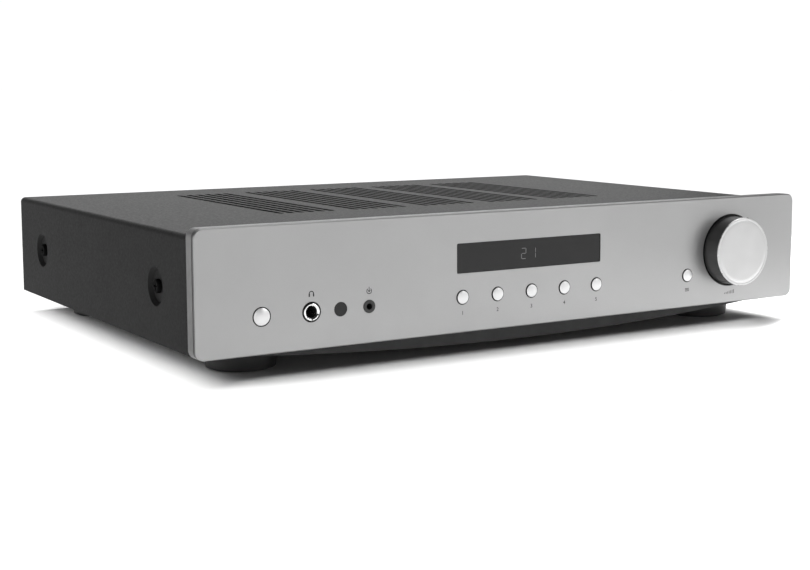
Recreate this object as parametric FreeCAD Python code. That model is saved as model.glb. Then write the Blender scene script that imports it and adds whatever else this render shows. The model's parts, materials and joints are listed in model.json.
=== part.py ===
"""Integrated stereo amplifier, 430 mm wide, as separate pieces in millimetres.

Frame: +Z up, -Y the front, +X to the right seen from the front.
Origin: middle of the footprint, on the surface that the feet stand on.
"""
import FreeCAD, Part
import math
import os

V = FreeCAD.Vector

# Overall size
WIDTH = 430.0
HEIGHT = 83.0
DEPTH = 335.0

# Front to back: knob, front plate, frame, case, rear terminals
KNOB_STAND_OUT = 12.0
FRONT = -DEPTH / 2 + KNOB_STAND_OUT
PLATE_THICK = 2.0
PLATE_BACK = FRONT + PLATE_THICK
FRAME_BACK = FRONT + 9.8
BOARD_FRONT = FRONT + 10.0
BOARD_THICK = 1.6
BOARD_BACK = BOARD_FRONT + BOARD_THICK
TERMINAL_END = DEPTH / 2
COVER_END = TERMINAL_END - 18.0

# Front plate
FASCIA_BOTTOM = 14.0
FASCIA_CORNER = 5.0
FASCIA_EDGE = 0.5
GAP_LINE = 0.9
GAP_DEPTH = 1.4
FRAME_WALL = 4.0

# Sheet metal
SHEET = 1.2
COVER_HALF = 214.0
COVER_BOTTOM = 15.3
COVER_TOP = 79.1
COVER_BEND = 3.0
COVER_REAR_BEND = 4.5
COVER_LIP = 11.5
TRAY_HALF = 210.4
TRAY_BOTTOM = 14.4
TRAY_TOP = TRAY_BOTTOM + SHEET
TRAY_SIDE_TOP = 57.0
SUBPANEL_FRONT = FRONT + 14.5
SUBPANEL_BACK = SUBPANEL_FRONT + SHEET
REAR_FACE = COVER_END - SHEET
REAR_INNER = REAR_FACE - SHEET
FLANGE = 9.0

# Cooling slots in the top of the cover
VENT_GROUPS = 5
VENT_SLOTS = 6
VENT_GROUP_PITCH = 51.5
VENT_PITCH = 6.9
VENT_WIDTH = 3.8
VENT_CENTRE_X = 2.0
VENT_FRONT = FRONT + 94.0
VENT_BACK = FRONT + 256.0

# Dimples for the screws in the sides of the cover
DIMPLE_Y = (FRONT + 56.5, FRONT + 257.0)
DIMPLE_Z = 47.0
DIMPLE_R = 11.0
DIMPLE_FLOOR_R = 9.0
DIMPLE_DEPTH = COVER_HALF - SHEET - TRAY_HALF

# Controls on the front
ROW_Z = 34.5
POWER_X = -177.3
POWER_R = 5.0
HEADPHONE_X = -147.8
HEADPHONE_HOLE_R = 5.35
HEADPHONE_BORE_R = 3.2
IR_X = -130.0
IR_R = 4.0
AUX_X = -112.1
AUX_RING_R = 3.7
AUX_BORE_R = 1.8
SOURCE_X = [-50.4 + 24.45 * step for step in range(5)]
MENU_X = 121.5
BUTTON_R = 4.0
BUTTON_GAP = 0.3
BUTTON_TRAVEL = 0.6
BUTTON_STAND_OUT = 1.1
BUTTON_DOME_R = 12.0
SWITCH_FRONT = BOARD_FRONT - 3.5

DISPLAY_X = (-54.3, 50.4)
DISPLAY_Z = (48.3, 65.8)
DISPLAY_RECESS = 0.4

KNOB_X = 158.4
KNOB_Z = 48.6
KNOB_R = 22.1
KNOB_WELL_R = 23.4
KNOB_WELL_DEPTH = 1.0
KNOB_BACK = FRONT + 0.6
SHAFT_R = 3.0
RUNNING_GAP = 0.05

# Curved skirt under the front
SKIRT_HALF = 203.0
SKIRT_DROP = 9.3
SKIRT_DEPTH = 9.0

# Feet
FOOT_X = 170.0
FOOT_Y = 112.0
FOOT_R = 21.0
PAD_R = 17.0
PAD_THICK = 2.0
PAD_HOLE_R = 6.0

# Rear panel
SOCKET_PITCH = 18.0
SOCKET_X = [88.0 + SOCKET_PITCH * column for column in range(6)]
SOCKET_Z = (42.0, 60.0)
SOCKET_R = 4.15
SOCKET_WALL = 0.8
SOCKET_NECK_R = 3.8
SOCKET_NECK_END = REAR_FACE + 2.3
SOCKET_BORE_R = 1.6
SOCKET_LENGTH = 10.5
POST_PITCH = 19.05
POST_PAIR_X = (45.0, -5.0)
POST_Z = 46.0
POST_STUD_R = 3.0
POST_BORE_R = 2.05
POST_CAP_R = 6.8
POST_BASE = REAR_FACE + 3.0
POST_SEAT = POST_BASE + 1.6
POST_STUD_END = TERMINAL_END - 4.0
WASHER = 1.0
GROUND_X = 198.0
GROUND_Z = 51.0
GROUND_STUD_R = 2.0
INLET_X = -165.0
INLET_Z = 48.0
INLET_RIM = REAR_FACE + 3.0
INLET_DEPTH = 17.0
ROCKER_X = -118.0
ROCKER_Z = 48.0
ROCKER_PIVOT_Y = REAR_FACE - 0.8
ROCKER_TILT = 8.0

# Inside
TOROID_X = -138.0
TOROID_Y = -58.0
TOROID_R = 55.0
TOROID_HOLE_R = 14.0
TOROID_HEIGHT = 45.0
TOROID_PAD = 2.0
TOROID_BOTTOM = TRAY_TOP + TOROID_PAD
TOROID_TOP = TOROID_BOTTOM + TOROID_HEIGHT
WASHER_BOTTOM = TOROID_TOP + 1.5
STANDOFF = 8.0
PCB_BOTTOM = TRAY_TOP + STANDOFF
PCB_TOP = PCB_BOTTOM + BOARD_THICK
MAIN_PCB = (-35.0, 196.0, -105.0, 134.0)
POWER_PCB = (-202.0, -98.0, 14.0, 112.0)
SINK_BACK_X = -37.0
SINK_PLATE = 5.0
SINK_Y = (-62.0, 100.0)
SINK_FIN = 1.6
SINK_FIN_PITCH = 8.0
SINK_FIN_REACH = 26.0
LEAD_R = 1.2
BEND_SHARE = 0.45

M3_R = 1.5
M3_HEAD_R = 2.8
M3_HEAD = 1.8
M4_R = 2.0
M4_HEAD_R = 4.0
M4_HEAD = 2.4
SCREW_GAP = 0.05


# ---------------------------------------------------------------- helpers

def box(x, y, z):
    """A block from three (low, high) pairs."""
    size = (x[1] - x[0], y[1] - y[0], z[1] - z[0])
    return Part.makeBox(*size, V(x[0], y[0], z[0]))


def rod_x(y, z, radius, start, end):
    return Part.makeCylinder(radius, end - start, V(start, y, z), V(1, 0, 0))


def rod_y(x, z, radius, start, end):
    return Part.makeCylinder(radius, end - start, V(x, start, z), V(0, 1, 0))


def rod_z(x, y, radius, start, end):
    return Part.makeCylinder(radius, end - start, V(x, y, start), V(0, 0, 1))


def edges_along(shape, direction):
    """The straight edges of a block that run along one axis."""
    found = []
    for edge in shape.Edges:
        span = edge.Vertexes[-1].Point - edge.Vertexes[0].Point
        if span.Length > 0 and abs(abs(span.normalize().dot(direction)) - 1) < 1e-6:
            found.append(edge)
    return found


def slab_y(x, y, z, corner):
    """A block whose four edges along Y are rounded."""
    block = box(x, y, z)
    return block.makeFillet(corner, edges_along(block, V(0, 1, 0)))


def slab_z(x, y, z, corner):
    """A block whose four edges along Z are rounded."""
    block = box(x, y, z)
    return block.makeFillet(corner, edges_along(block, V(0, 0, 1)))


def slot_along_y(x, y, z, width):
    """A round-ended slot, as the solid to cut away."""
    half = width / 2
    straight = box((x - half, x + half), (y[0] + half, y[1] - half), z)
    ends = [rod_z(x, at, half, *z) for at in (y[0] + half, y[1] - half)]
    return straight.fuse(ends).removeSplitter()


def join(shapes):
    return shapes[0].fuse(shapes[1:]).removeSplitter()


def save(name, shape):
    shape.exportStep(os.path.join("parts", name + ".step"))


def save_group(name, shapes):
    save(name, Part.makeCompound(shapes))


def screw(tip, direction, grip, radius, head_radius, head):
    """A pan-head screw: its head sits on tip and its shank runs along direction."""
    shank = Part.makeCylinder(radius, grip, tip, direction)
    cap = Part.makeCylinder(head_radius, head, tip - direction * head, direction)
    rim = [edge for edge in cap.Edges
           if edge.Closed and (edge.CenterOfMass - tip).Length > head / 2]
    cap = cap.makeFillet(head * 0.4, rim)
    depth = head * 0.6
    across = head_radius * 1.1
    recess = [Part.makeBox(across, head_radius * 0.22, depth),
              Part.makeBox(head_radius * 0.22, across, depth)]
    for blade in recess:
        blade.translate(-blade.BoundBox.Center + V(0, 0, 0))
        blade.Placement = FreeCAD.Placement(
            tip - direction * (head - depth / 2), FreeCAD.Rotation(V(0, 0, 1), direction)
        ).multiply(blade.Placement)
    return cap.fuse(shank).cut(recess)


def m3(tip, direction, grip):
    return screw(tip, direction, grip, M3_R, M3_HEAD_R, M3_HEAD)


def m4(tip, direction, grip):
    return screw(tip, direction, grip, M4_R, M4_HEAD_R, M4_HEAD)


def hex_rod(centre, across, start, end):
    """A six-sided bar along Z."""
    points = []
    for step in range(7):
        turn = math.radians(60 * step)
        reach = across / math.sqrt(3)
        points.append(V(centre[0] + reach * math.cos(turn), centre[1] + reach * math.sin(turn), start))
    return Part.Face(Part.makePolygon(points)).extrude(V(0, 0, end - start))


def rounded_path(name, points):
    """Straight runs joined by the largest tangent arcs that the runs allow."""
    edges = []
    start = points[0]
    radii = []
    for before, corner, after in zip(points, points[1:], points[2:]):
        arrive = (corner - before).normalize()
        leave = (after - corner).normalize()
        half_turn = arrive.getAngle(leave) / 2
        setback = BEND_SHARE * min((corner - before).Length, (after - corner).Length)
        radius = setback / math.tan(half_turn)
        inward = (leave - arrive).normalize()
        middle = corner + inward * (radius / math.cos(half_turn) - radius)
        bend_start = corner - arrive * setback
        bend_end = corner + leave * setback
        edges.append(Part.LineSegment(start, bend_start).toShape())
        edges.append(Part.Arc(bend_start, middle, bend_end).toShape())
        start = bend_end
        radii.append(round(radius, 1))
    edges.append(Part.LineSegment(start, points[-1]).toShape())
    print(name, "bend radii", radii)
    return Part.Wire(edges)


def lead(name, points):
    """One insulated wire along a rounded path."""
    path = rounded_path(name, points)
    first = (points[1] - points[0]).normalize()
    section = Part.Wire(Part.makeCircle(LEAD_R, points[0], first))
    solid = path.makePipeShell([section], True, False)
    ideal = math.pi * LEAD_R ** 2 * path.Length
    print(name, "volume over section times length", round(solid.Volume / ideal, 4))
    return solid


# ---------------------------------------------------------------- front

def fascia_plate():
    """Thick aluminium front with a fine bevel, pierced for every control."""
    half = WIDTH / 2
    plate = slab_y((-half, half), (FRONT, PLATE_BACK), (FASCIA_BOTTOM, HEIGHT), FASCIA_CORNER)
    face_edges = [edge for edge in plate.Edges if abs(edge.BoundBox.YMax - FRONT) < 1e-6]
    plate = plate.makeChamfer(FASCIA_EDGE, face_edges)
    span = (FRONT - 1, PLATE_BACK + 1)
    holes = [rod_y(x, ROW_Z, BUTTON_R, *span) for x in SOURCE_X + [MENU_X]]
    holes.append(rod_y(POWER_X, ROW_Z, POWER_R, *span))
    holes.append(rod_y(HEADPHONE_X, ROW_Z, HEADPHONE_HOLE_R, *span))
    holes.append(rod_y(IR_X, ROW_Z, IR_R + SCREW_GAP, *span))
    holes.append(rod_y(AUX_X, ROW_Z, AUX_RING_R + SCREW_GAP, *span))
    holes.append(slab_y(DISPLAY_X, span, DISPLAY_Z, 1.0))
    holes.append(rod_y(KNOB_X, KNOB_Z, KNOB_WELL_R, FRONT - 1, FRONT + KNOB_WELL_DEPTH))
    holes.append(rod_y(KNOB_X, KNOB_Z, 4.8, *span))
    return plate.cut(holes)


def fascia_frame():
    """Moulded frame behind the plate: a rim, a web against the plate and four corner blocks."""
    half = WIDTH / 2
    rim = slab_y((-half, half), (PLATE_BACK + GAP_LINE, FRAME_BACK), (FASCIA_BOTTOM, HEIGHT), FASCIA_CORNER)
    web_back = PLATE_BACK + 1.5
    inner = slab_y((-half + FRAME_WALL, half - FRAME_WALL), (web_back, FRAME_BACK + 1),
                   (FASCIA_BOTTOM + FRAME_WALL, HEIGHT - FRAME_WALL), 1.5)
    web = slab_y((-half + GAP_DEPTH, half - GAP_DEPTH), (PLATE_BACK, web_back),
                 (FASCIA_BOTTOM + GAP_DEPTH, HEIGHT - GAP_DEPTH), FASCIA_CORNER - GAP_DEPTH)
    frame = rim.cut(inner).fuse(web)
    blocks = []
    for side in (-1, 1):
        x = sorted((side * 200.0, side * (half - FRAME_WALL + 1)))
        for z in ((FASCIA_BOTTOM + 3, 28.0), (69.0, HEIGHT - FRAME_WALL - 2.4)):
            blocks.append(box(x, (web_back - 0.5, SUBPANEL_FRONT), z))
    bosses = [rod_y(x, z, 3.2, web_back - 0.5, BOARD_FRONT) for x, z in control_board_holes()]
    frame = frame.fuse(blocks + bosses)
    span = (PLATE_BACK - 1, web_back + 1)
    openings = [rod_y(x, ROW_Z, BUTTON_R + 2.0, *span) for x in SOURCE_X + [MENU_X]]
    openings.append(rod_y(POWER_X, ROW_Z, POWER_R + 2.0, *span))
    openings.append(box((HEADPHONE_X - 7.5, HEADPHONE_X + 7.5), span, (ROW_Z - 7.5, ROW_Z + 7.5)))
    openings.append(rod_y(IR_X, ROW_Z, IR_R + 1.4, *span))
    openings.append(box((AUX_X - 5, AUX_X + 5), span, (ROW_Z - 5, ROW_Z + 5)))
    window_x, window_z = [(low - 2.6, high + 2.6) for low, high in (DISPLAY_X, DISPLAY_Z)]
    openings.append(box(window_x, span, window_z))
    openings.append(box((KNOB_X - 7, KNOB_X + 7), span, (KNOB_Z - 7, KNOB_Z + 7)))
    bore = M3_R + SCREW_GAP
    pilots = [rod_y(x, z, bore, BOARD_FRONT - 4, BOARD_FRONT + 1) for x, z in control_board_holes()]
    pilots += [rod_y(x, z, bore, SUBPANEL_FRONT - 6.5, SUBPANEL_FRONT + 1) for x, z in frame_screws()]
    return frame.cut(openings + pilots).removeSplitter()


def control_board_holes():
    return [(x, z) for x in (-186.0, -80.0, 86.0, 186.0) for z in (26.0, 71.0)]


def frame_screws():
    return [(x, z) for x in (-205.0, 205.0) for z in (22.5, 72.5)]


def display_window():
    """Smoked lens with a flange that bears on the back of the plate."""
    play = 0.1
    x = (DISPLAY_X[0] + play, DISPLAY_X[1] - play)
    z = (DISPLAY_Z[0] + play, DISPLAY_Z[1] - play)
    lens = slab_y(x, (FRONT + DISPLAY_RECESS, PLATE_BACK + 0.5), z, 0.9)
    flange = box((x[0] - 2, x[1] + 2), (PLATE_BACK, PLATE_BACK + 1.0), (z[0] - 2, z[1] + 2))
    return join([lens, flange])


def ir_window():
    lens = rod_y(IR_X, ROW_Z, IR_R, FRONT + 0.2, PLATE_BACK + 0.5)
    flange = rod_y(IR_X, ROW_Z, IR_R + 1.0, PLATE_BACK, PLATE_BACK + 1.0)
    return join([lens, flange])


def front_button(x, hole_radius):
    """Domed cap with a stop flange behind the plate and a stem that works the switch."""
    radius = hole_radius - BUTTON_GAP
    tip = FRONT - BUTTON_STAND_OUT
    cap = rod_y(x, ROW_Z, radius, tip, PLATE_BACK + 0.5)
    dome = Part.makeSphere(BUTTON_DOME_R, V(x, tip + BUTTON_DOME_R, ROW_Z))
    cap = cap.common(dome.fuse(rod_y(x, ROW_Z, radius + 1, tip + 2, PLATE_BACK + 2)))
    flange = rod_y(x, ROW_Z, hole_radius + 1.2, PLATE_BACK + 0.2, PLATE_BACK + 1.2)
    stem_end = SWITCH_FRONT - BUTTON_TRAVEL - 0.05
    stem = rod_y(x, ROW_Z, 1.7, PLATE_BACK + 1.0, stem_end)
    return join([cap, flange, stem])


def headphone_jack():
    """6.35 mm socket: square body behind the front and a bushing through it."""
    body = box((HEADPHONE_X - 7, HEADPHONE_X + 7), (FRONT + 5, FRONT + 35), (ROW_Z - 7, ROW_Z + 7))
    bushing = rod_y(HEADPHONE_X, ROW_Z, 3.9, FRONT + 0.2, FRONT + 6)
    bore = rod_y(HEADPHONE_X, ROW_Z, HEADPHONE_BORE_R, FRONT - 1, FRONT + 32)
    return join([body, bushing]).cut(bore)


def headphone_jack_nut():
    """Bright ring nut around the bushing, with a rounded front edge."""
    start = FRONT - 0.6
    ring = rod_y(HEADPHONE_X, ROW_Z, 4.9, start, PLATE_BACK)
    edge = [e for e in ring.Edges if e.Closed and abs(e.CenterOfMass.y - start) < 1e-6]
    ring = ring.makeFillet(0.6, edge)
    mouth = rod_y(HEADPHONE_X, ROW_Z, HEADPHONE_BORE_R + 0.1, start - 1, FRONT + 1)
    thread = rod_y(HEADPHONE_X, ROW_Z, 3.9, FRONT + 0.2, PLATE_BACK + 1)
    return ring.cut([mouth, thread])


def aux_jack():
    """3.5 mm socket with a plain metal collar."""
    body = box((AUX_X - 3.5, AUX_X + 3.5), (PLATE_BACK, FRONT + 16), (ROW_Z - 3.5, ROW_Z + 3.5))
    collar = rod_y(AUX_X, ROW_Z, AUX_RING_R, FRONT - 0.3, PLATE_BACK + 0.5)
    bore = rod_y(AUX_X, ROW_Z, AUX_BORE_R, FRONT - 1, FRONT + 15)
    return join([body, collar]).cut(bore)


# ---------------------------------------------------------------- volume control

def volume_knob():
    """Turned aluminium cup with a fine bevel at its front edge."""
    front = -DEPTH / 2
    cup = rod_y(KNOB_X, KNOB_Z, KNOB_R, front, KNOB_BACK)
    edge = [e for e in cup.Edges if e.Closed and abs(e.CenterOfMass.y - front) < 1e-6]
    cup = cup.makeChamfer(0.5, edge)
    return cup.cut(rod_y(KNOB_X, KNOB_Z, KNOB_R - 2.0, front + 2.5, KNOB_BACK + 1))


def knob_hub():
    """Moulded insert pressed into the cup, with the bore for the shaft."""
    front = -DEPTH / 2 + 2.5
    disc = rod_y(KNOB_X, KNOB_Z, KNOB_R - 2.0, front, front + 4)
    boss = rod_y(KNOB_X, KNOB_Z, 6.0, front, FRONT - 1.2)
    ribs = [box((KNOB_X - 19, KNOB_X + 19), (front + 4, FRONT - 2.5), (KNOB_Z - 0.8, KNOB_Z + 0.8)),
            box((KNOB_X - 0.8, KNOB_X + 0.8), (front + 4, FRONT - 2.5), (KNOB_Z - 19, KNOB_Z + 19))]
    bore = rod_y(KNOB_X, KNOB_Z, SHAFT_R, front + 1.5, FRONT)
    return join([disc, boss] + ribs).cut(bore)


def encoder_shaft():
    return rod_y(KNOB_X, KNOB_Z, SHAFT_R, -DEPTH / 2 + 4.2, BOARD_FRONT - 1.6)


def encoder_body():
    """Rotary encoder on the control board, with the bushing that carries the shaft."""
    body = box((KNOB_X - 6.2, KNOB_X + 6.2), (PLATE_BACK + 0.3, BOARD_FRONT), (KNOB_Z - 6.2, KNOB_Z + 6.2))
    bushing = rod_y(KNOB_X, KNOB_Z, 4.5, FRONT + 0.4, PLATE_BACK + 1)
    bore = rod_y(KNOB_X, KNOB_Z, SHAFT_R + RUNNING_GAP, FRONT - 1, BOARD_FRONT - 1.2)
    return join([body, bushing]).cut(bore)


# ---------------------------------------------------------------- control board

def control_board():
    """Circuit board behind the front, cut out for the two sockets."""
    board = box((-192.0, 192.0), (BOARD_FRONT, BOARD_BACK), (21.0, 76.0))
    span = (BOARD_FRONT - 1, BOARD_BACK + 1)
    cuts = [box((HEADPHONE_X - 7.2, HEADPHONE_X + 7.2), span, (ROW_Z - 7.2, ROW_Z + 7.2)),
            box((AUX_X - 3.7, AUX_X + 3.7), span, (ROW_Z - 3.7, ROW_Z + 3.7))]
    cuts += [rod_y(x, z, M3_R + SCREW_GAP, *span) for x, z in control_board_holes()]
    return board.cut(cuts)


def control_board_parts():
    """Push switches, the remote-control receiver and the ribbon connector."""
    pieces = []
    for x in [POWER_X] + SOURCE_X + [MENU_X]:
        pieces.append(box((x - 3, x + 3), (SWITCH_FRONT, BOARD_FRONT), (ROW_Z - 3, ROW_Z + 3)))
    pieces.append(box((IR_X - 3.5, IR_X + 3.5), (BOARD_FRONT - 5, BOARD_FRONT), (ROW_Z - 3.5, ROW_Z + 3.5)))
    pieces.append(box((66.0, 94.0), (BOARD_BACK, BOARD_BACK + 2.2), (56.0, 60.0)))
    return pieces


def display_module():
    """Glass display with its contact frame, on the control board."""
    x = (DISPLAY_X[0] - 1.5, DISPLAY_X[1] + 1.5)
    z = (DISPLAY_Z[0] - 1.5, DISPLAY_Z[1] + 1.5)
    frame = box(x, (BOARD_FRONT - 2.5, BOARD_FRONT), z)
    glass = box((x[0] + 2, x[1] - 2), (PLATE_BACK + 1.6, BOARD_FRONT - 2), (z[0] + 1.5, z[1] - 1.5))
    return join([frame, glass])


def ribbon_cable():
    """Flat cable from the control board, through the inner panel, down to the main board."""
    start = V(80.0, BOARD_BACK + 2.2, 58.0)
    points = [start, V(80.0, -110.0, 58.0), V(80.0, -88.0, 42.0), V(80.0, -88.0, PCB_TOP + 4)]
    path = rounded_path("ribbon_cable", points)
    half = 12.0
    corners = [start + V(-half, 0, -0.3), start + V(half, 0, -0.3),
               start + V(half, 0, 0.3), start + V(-half, 0, 0.3)]
    section = Part.makePolygon(corners + corners[:1])
    return path.makePipeShell([section], True, False)


# ---------------------------------------------------------------- case

def top_cover():
    """Folded steel cover: top, two sides and a short lip at the rear."""
    half = COVER_HALF
    outer = box((-half, half), (FRAME_BACK, COVER_END), (COVER_BOTTOM, COVER_TOP))
    sides = [e for e in edges_along(outer, V(0, 1, 0)) if e.CenterOfMass.z > COVER_TOP - 1]
    outer = outer.makeFillet(COVER_BEND, sides)
    rear = [e for e in edges_along(outer, V(1, 0, 0))
            if e.CenterOfMass.y > COVER_END - 1]
    outer = outer.makeFillet(COVER_REAR_BEND - 0.5, rear)
    inner = box((-half + SHEET, half - SHEET), (FRAME_BACK - 1, REAR_FACE),
                (COVER_BOTTOM - 1, COVER_TOP - SHEET))
    folds = [e for e in edges_along(inner, V(0, 1, 0)) if e.CenterOfMass.z > COVER_TOP - 2]
    inner = inner.makeFillet(COVER_BEND - SHEET, folds)
    below_lip = box((-half + SHEET, half - SHEET), (REAR_FACE - 2, COVER_END + 1),
                    (COVER_BOTTOM - 1, COVER_TOP - COVER_LIP))
    cover = outer.cut([inner, below_lip])
    cover = cover.fuse(dimple_backs()).cut(dimple_recesses() + cover_vents() + cover_screw_holes())
    return cover


def dimple_backs():
    """Metal pressed inwards behind each dimple."""
    backs = []
    for side in (-1, 1):
        for y in DIMPLE_Y:
            base = V(side * (COVER_HALF - SHEET), y, DIMPLE_Z)
            radii = (DIMPLE_R + 0.9, DIMPLE_FLOOR_R + 0.9)
            backs.append(Part.makeCone(*radii, DIMPLE_DEPTH, base, V(-side, 0, 0)))
    return backs


def dimple_recesses():
    cuts = []
    for side in (-1, 1):
        for y in DIMPLE_Y:
            base = V(side * COVER_HALF, y, DIMPLE_Z)
            cuts.append(Part.makeCone(DIMPLE_R, DIMPLE_FLOOR_R, DIMPLE_DEPTH, base, V(-side, 0, 0)))
            ends = sorted((side * (TRAY_HALF - 1), side * (COVER_HALF + 1)))
            cuts.append(rod_x(y, DIMPLE_Z, M4_R + SCREW_GAP, *ends))
    return cuts


def vent_positions():
    """X of every cooling slot, in groups."""
    found = []
    for group in range(VENT_GROUPS):
        centre = VENT_CENTRE_X + (group - (VENT_GROUPS - 1) / 2) * VENT_GROUP_PITCH
        for slot in range(VENT_SLOTS):
            found.append(centre + (slot - (VENT_SLOTS - 1) / 2) * VENT_PITCH)
    return found


def cover_vents():
    span = (COVER_TOP - SHEET - 1, COVER_TOP + 1)
    return [slot_along_y(x, (VENT_FRONT, VENT_BACK), span, VENT_WIDTH) for x in vent_positions()]


def lip_screws():
    return [(x, COVER_TOP - 6.3) for x in (-195.0, -65.0, 65.0, 195.0)]


def base_screws():
    return [(x, TRAY_TOP + 4.2) for x in (-190.0, -60.0, 70.0, 190.0)]


def cover_screw_holes():
    return [rod_y(x, z, M3_R + SCREW_GAP, REAR_FACE - 1, COVER_END + 1) for x, z in lip_screws()]


def foot_places():
    return [(x, y) for x in (-FOOT_X, FOOT_X) for y in (-FOOT_Y, FOOT_Y)]


def chassis_tray():
    """Folded steel tray with side, front and rear flanges, screw bosses and floor slots."""
    half = TRAY_HALF
    front = SUBPANEL_BACK
    floor = box((-half, half), (SUBPANEL_FRONT, REAR_INNER), (TRAY_BOTTOM, TRAY_TOP))
    walls = [box((front_x, front_x + SHEET), (front + 0.4, REAR_INNER - 0.4), (TRAY_BOTTOM, TRAY_SIDE_TOP))
             for front_x in (-half, half - SHEET)]
    flanges = [box((-half + 14, half - 14), (front, front + SHEET), (TRAY_BOTTOM, TRAY_TOP + FLANGE)),
               box((-half + 2, half - 2), (REAR_INNER - SHEET, REAR_INNER), (TRAY_BOTTOM, TRAY_TOP + FLANGE))]
    bosses = [rod_z(x, y, 4.0, TRAY_BOTTOM, TRAY_TOP + 2) for x, y in foot_places()]
    for side in (-1, 1):
        ends = sorted((side * (half - SHEET - 2), side * half))
        bosses += [rod_x(y, DIMPLE_Z, 4.0, *ends) for y in DIMPLE_Y]
    tray = floor.fuse(walls + flanges + bosses)
    return tray.cut(tray_holes()).removeSplitter()


def tray_holes():
    depth = (TRAY_BOTTOM - 1, TRAY_TOP + 4)
    holes = [rod_z(x, y, M4_R + SCREW_GAP, *depth) for x, y in foot_places()]
    for side in (-1, 1):
        ends = sorted((side * (TRAY_HALF - 6), side * (TRAY_HALF + 1)))
        holes += [rod_x(y, DIMPLE_Z, M4_R + SCREW_GAP, *ends) for y in DIMPLE_Y]
    holes.append(rod_z(TOROID_X, TOROID_Y, 3.1, *depth))
    holes += [rod_y(x, z, M3_R + SCREW_GAP, REAR_INNER - 3, REAR_INNER + 1) for x, z in base_screws()]
    holes += [rod_y(x, z, M3_R + SCREW_GAP, SUBPANEL_BACK - 1, SUBPANEL_BACK + 3) for x, z in base_screws()]
    for group in range(3):
        for slot in range(7):
            x = -20.0 + group * 62.0 + slot * 7.0
            holes.append(slot_along_y(x, (-40.0, 70.0), depth, VENT_WIDTH))
    holes += [rod_z(x, y, M3_R + SCREW_GAP, *depth) for x, y in standoff_places()]
    return holes


def front_subpanel():
    """Inner steel panel that ties the tray to the moulded frame."""
    half = TRAY_HALF - 2
    panel = box((-half, half), (SUBPANEL_FRONT, SUBPANEL_BACK), (TRAY_TOP, COVER_TOP - SHEET - 0.4))
    span = (SUBPANEL_FRONT - 1, SUBPANEL_BACK + 1)
    cuts = [slab_y((-160.0, -104.0), span, (ROW_Z - 9, ROW_Z + 9), 3.0),
            slab_y((64.0, 96.0), span, (53.0, 63.0), 2.0),
            slab_y((-60.0, 56.0), span, (46.0, 68.0), 4.0)]
    cuts += [rod_y(x, z, M3_R + SCREW_GAP, *span) for x, z in frame_screws() + base_screws()]
    return panel.cut(cuts)


def rear_panel():
    """Steel rear panel, pierced for every socket and switch."""
    half = TRAY_HALF - 1.5
    panel = box((-half, half), (REAR_INNER, REAR_FACE), (TRAY_TOP, COVER_TOP - SHEET - 0.4))
    span = (REAR_INNER - 1, REAR_FACE + 1)
    cuts = [rod_y(x, z, 5.1, *span) for x in SOCKET_X for z in SOCKET_Z]
    cuts += [rod_y(x, POST_Z, 5.1, *span) for x in post_places()]
    cuts.append(rod_y(GROUND_X, GROUND_Z, GROUND_STUD_R + SCREW_GAP, *span))
    cuts.append(box((INLET_X - 14, INLET_X + 14), span, (INLET_Z - 10.2, INLET_Z + 10.2)))
    cuts.append(box((ROCKER_X - 7.1, ROCKER_X + 7.1), span, (ROCKER_Z - 10.3, ROCKER_Z + 10.3)))
    screws = lip_screws() + base_screws() + inlet_screws() + socket_screws()
    cuts += [rod_y(x, z, M3_R + SCREW_GAP, *span) for x, z in screws]
    return panel.cut(cuts)


def inlet_screws():
    return [(INLET_X + offset, INLET_Z) for offset in (-20.0, 20.0)]


def socket_screws():
    middle = sum(SOCKET_Z) / 2
    return [(SOCKET_X[0] + SOCKET_PITCH * (column + 0.5), middle) for column in (0, 2, 4)]


def front_skirt():
    """Moulded strip under the frame whose lower edge is one long shallow arc."""
    left = V(-SKIRT_HALF, FRAME_BACK, FASCIA_BOTTOM)
    right = V(SKIRT_HALF, FRAME_BACK, FASCIA_BOTTOM)
    lowest = V(0, FRAME_BACK, FASCIA_BOTTOM - SKIRT_DROP)
    lift = V(0, 0, TRAY_BOTTOM - FASCIA_BOTTOM)
    edges = [Part.Arc(left, lowest, right).toShape()]
    corners = [right, right + lift, left + lift, left]
    edges += [Part.LineSegment(a, b).toShape() for a, b in zip(corners, corners[1:])]
    return Part.Face(Part.Wire(edges)).extrude(V(0, SKIRT_DEPTH, 0))


def feet():
    """Moulded feet, hollow underneath for the pad and the screw."""
    made = []
    for x, y in foot_places():
        foot = Part.makeCone(FOOT_R - 1.5, FOOT_R, TRAY_BOTTOM - 1, V(x, y, 1), V(0, 0, 1))
        cuts = [rod_z(x, y, PAD_R + 0.1, 0, PAD_THICK),
                rod_z(x, y, 5.0, 0, 8.0),
                rod_z(x, y, M4_R + SCREW_GAP, 0, TRAY_BOTTOM + 1)]
        made.append(foot.cut(cuts))
    return made


def foot_pads():
    pads = []
    for x, y in foot_places():
        pad = rod_z(x, y, PAD_R, 0, PAD_THICK)
        pads.append(pad.cut(rod_z(x, y, PAD_HOLE_R, -1, PAD_THICK + 1)))
    return pads


def case_screws():
    """M4 screws: four in the dimples of the cover and one up through each foot."""
    screws = []
    for side in (-1, 1):
        for y in DIMPLE_Y:
            tip = V(side * (TRAY_HALF + SHEET), y, DIMPLE_Z)
            screws.append(m4(tip, V(-side, 0, 0), 6.5))
    screws += [m4(V(x, y, 8.0), V(0, 0, 1), 10.5) for x, y in foot_places()]
    return screws


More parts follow.
